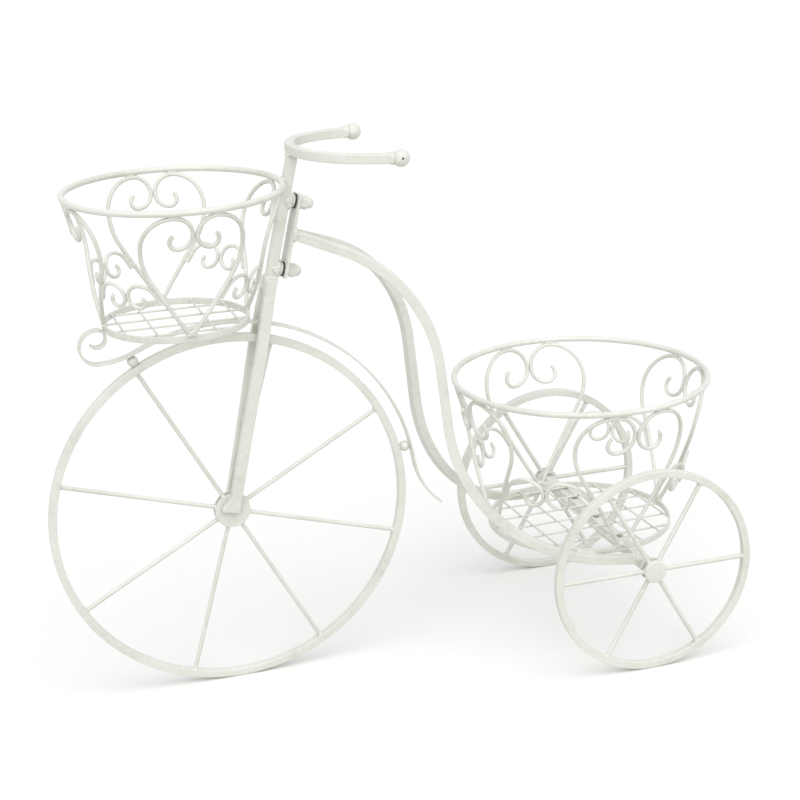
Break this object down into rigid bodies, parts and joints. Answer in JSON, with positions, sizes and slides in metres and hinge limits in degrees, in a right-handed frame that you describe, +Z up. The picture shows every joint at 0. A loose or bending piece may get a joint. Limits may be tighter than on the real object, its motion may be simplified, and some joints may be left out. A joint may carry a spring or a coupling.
{
  "type": "tricycle planter",
  "caption": "Cream wire-and-bar tricycle planter with a tall front wheel, small spinning rear wheels, a curled fender, a curved handlebar and heart-scroll pot baskets.",
  "frame": {"origin": "centre of the bounding box at floor level", "axes": "+X to the rear, along the length; +Y to the rider's right; +Z up"},
  "size_m": [0.7436, 0.3134, 0.5829],
  "materials": {
    "frame_paint": "satin",
    "wire_paint": "satin",
    "fitting_paint": "satin",
    "rubber": "matte",
    "steel": "satin"
  },
  "bodies": {
    "stand": {"axle_nut_left": "steel", "axle_nut_right": "steel", "axle_washer_left": "steel", "axle_washer_right": "steel", "cap_nuts": "fitting_paint", "fender": "frame_paint", "fender_ball_front": "frame_paint", "fender_ball_rear": "frame_paint", "fork_leg_left": "frame_paint", "fork_leg_right": "frame_paint", "frame_bar_left": "frame_paint", "frame_bar_right": "frame_paint", "front_base_ring": "frame_paint", "front_basket_rim": "frame_paint", "front_floor_cross": "wire_paint", "front_floor_long": "wire_paint", "front_heart_front": "wire_paint", "front_heart_left": "wire_paint", "front_heart_rear": "wire_paint", "front_heart_right": "wire_paint", "front_hub": "frame_paint", "front_link_front_left": "wire_paint", "front_link_front_right": "wire_paint", "front_link_rear_left": "wire_paint", "front_link_rear_right": "wire_paint", "front_rim": "frame_paint", "front_spokes": "wire_paint", "handlebar": "frame_paint", "handlebar_ball_left": "frame_paint", "handlebar_ball_right": "frame_paint", "head_bosses": "fitting_paint", "head_plate": "frame_paint", "head_rubbers": "rubber", "head_studs": "steel", "head_washers": "fitting_paint", "rear_axle": "frame_paint", "rear_base_ring": "frame_paint", "rear_basket_rim": "frame_paint", "rear_floor_cross": "wire_paint", "rear_floor_long": "wire_paint", "rear_heart_front": "wire_paint", "rear_heart_left": "wire_paint", "rear_heart_rear": "wire_paint", "rear_heart_right": "wire_paint", "rear_link_front_left": "wire_paint", "rear_link_front_right": "wire_paint", "rear_link_rear_left": "wire_paint", "rear_link_rear_right": "wire_paint", "steering_post": "frame_paint"},
    "rear_left_wheel": {"rear_rim_left": "frame_paint", "rear_spokes_left": "wire_paint", "rear_hub_left": "frame_paint", "rear_hub_cap_left": "frame_paint"},
    "rear_right_wheel": {"rear_rim_right": "frame_paint", "rear_spokes_right": "wire_paint", "rear_hub_right": "frame_paint", "rear_hub_cap_right": "frame_paint"}
  },
  "joints": [
    {"name": "rear_left_wheel_spin", "type": "hinge", "parent": "stand", "child": "rear_left_wheel", "pos_m": [0.2486, -0.15, 0.1145], "axis": [0, 1, 0], "continuous": true},
    {"name": "rear_right_wheel_spin", "type": "hinge", "parent": "stand", "child": "rear_right_wheel", "pos_m": [0.2486, 0.15, 0.1145], "axis": [0, 1, 0], "continuous": true}
  ]
}
